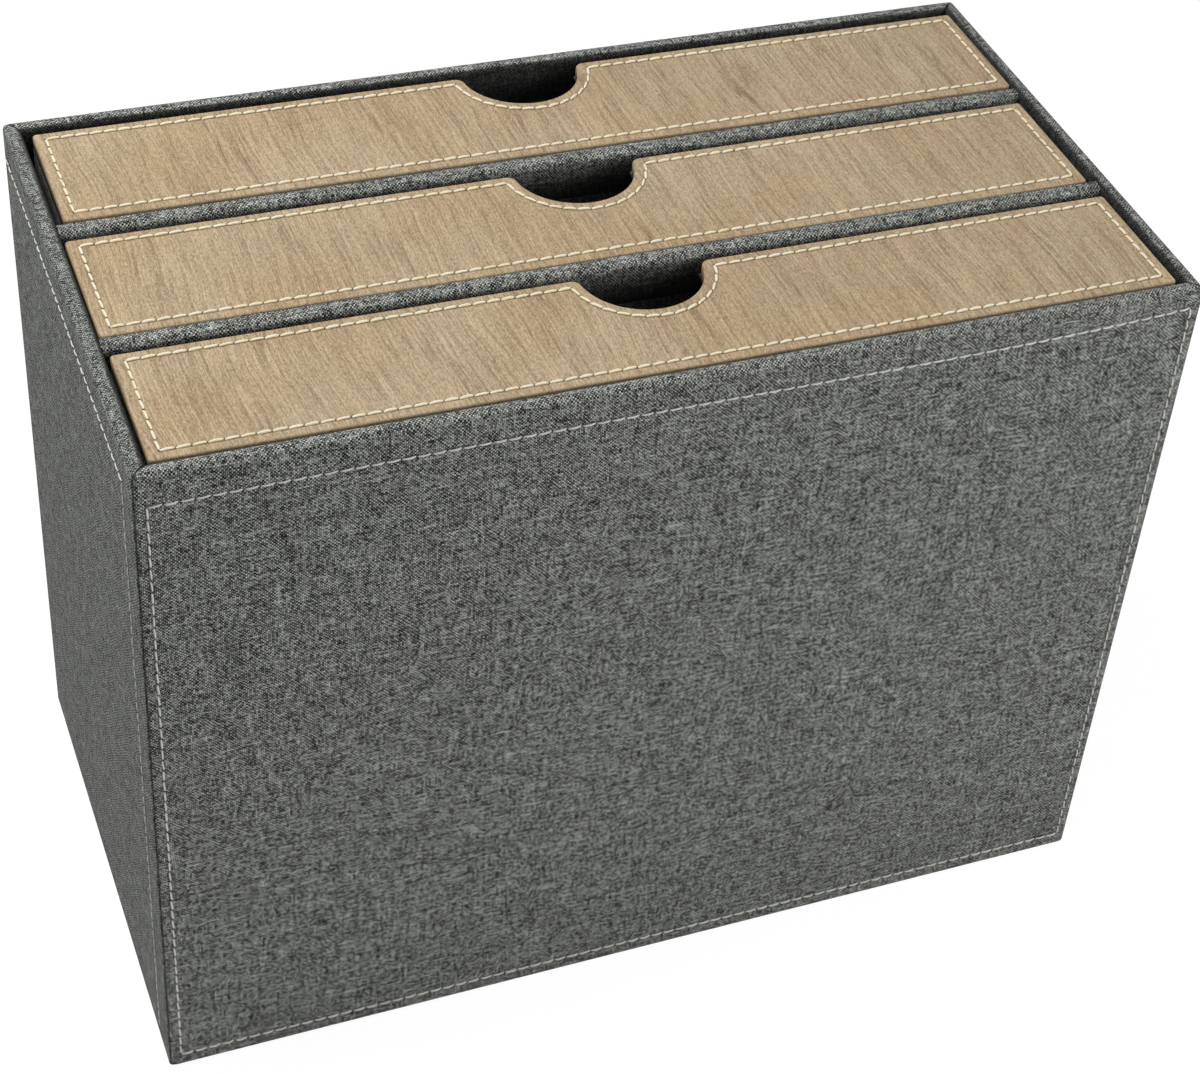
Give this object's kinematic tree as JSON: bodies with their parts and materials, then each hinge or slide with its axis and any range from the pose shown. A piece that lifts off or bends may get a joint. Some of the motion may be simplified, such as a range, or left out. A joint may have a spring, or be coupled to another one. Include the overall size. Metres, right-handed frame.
{
  "type": "file box with drawers",
  "caption": "Desk file box of cloth-covered boards; oak-look drawer fronts with stitched edges and half-round finger notches slide out of open bays.",
  "frame": {"origin": "middle of the back face that the box stands on, at the centre of its bounding box in plan", "axes": "+Z the way the drawer fronts face and the drawers pull out; X along the broad walls, the longest side; the near broad wall faces -Y, and +Y is the side of the finger notches"},
  "size_m": [0.33, 0.178, 0.25],
  "materials": {
    "case_board": "fibreboard, raw",
    "greyboard": "grey bookbinder's board, raw",
    "grey_cloth": "mottled linen-look cloth, matt",
    "lining_cloth": "plain dark cloth, matt",
    "oak_leathercloth": "pale oak grain print, satin",
    "light_thread": "twisted sewing thread"
  },
  "bodies": {
    "case": {"back_board": "case_board", "near_board": "case_board", "far_board": "case_board", "left_board": "case_board", "right_board": "case_board", "near_divider_board": "case_board", "far_divider_board": "case_board", "near_cover": "grey_cloth", "far_cover": "grey_cloth", "left_cover": "grey_cloth", "right_cover": "grey_cloth", "back_cover": "grey_cloth", "near_divider_wrap": "grey_cloth", "far_divider_wrap": "grey_cloth", "left_lining": "lining_cloth", "right_lining": "lining_cloth", "near_bay_lining": "lining_cloth", "middle_bay_lining": "lining_cloth", "far_bay_lining": "lining_cloth"},
    "near_drawer": {"near_front_board": "greyboard", "near_front_cover": "oak_leathercloth", "near_floor_board": "greyboard", "near_left_wall_board": "greyboard", "near_right_wall_board": "greyboard", "near_rear_wall_board": "greyboard", "near_tray_cover": "grey_cloth", "near_tray_lining": "lining_cloth"},
    "middle_drawer": {"middle_front_board": "greyboard", "middle_front_cover": "oak_leathercloth", "middle_floor_board": "greyboard", "middle_left_wall_board": "greyboard", "middle_right_wall_board": "greyboard", "middle_rear_wall_board": "greyboard", "middle_tray_cover": "grey_cloth", "middle_tray_lining": "lining_cloth"},
    "far_drawer": {"far_front_board": "greyboard", "far_front_cover": "oak_leathercloth", "far_floor_board": "greyboard", "far_left_wall_board": "greyboard", "far_right_wall_board": "greyboard", "far_rear_wall_board": "greyboard", "far_tray_cover": "grey_cloth", "far_tray_lining": "lining_cloth"}
  },
  "joints": [
    {"name": "near_drawer_slide", "type": "slide", "parent": "case", "child": "near_drawer", "axis": [0, 0, 1], "range_m": [0, 0.24]},
    {"name": "middle_drawer_slide", "type": "slide", "parent": "case", "child": "middle_drawer", "axis": [0, 0, 1], "range_m": [0, 0.24]},
    {"name": "far_drawer_slide", "type": "slide", "parent": "case", "child": "far_drawer", "axis": [0, 0, 1], "range_m": [0, 0.24]}
  ]
}
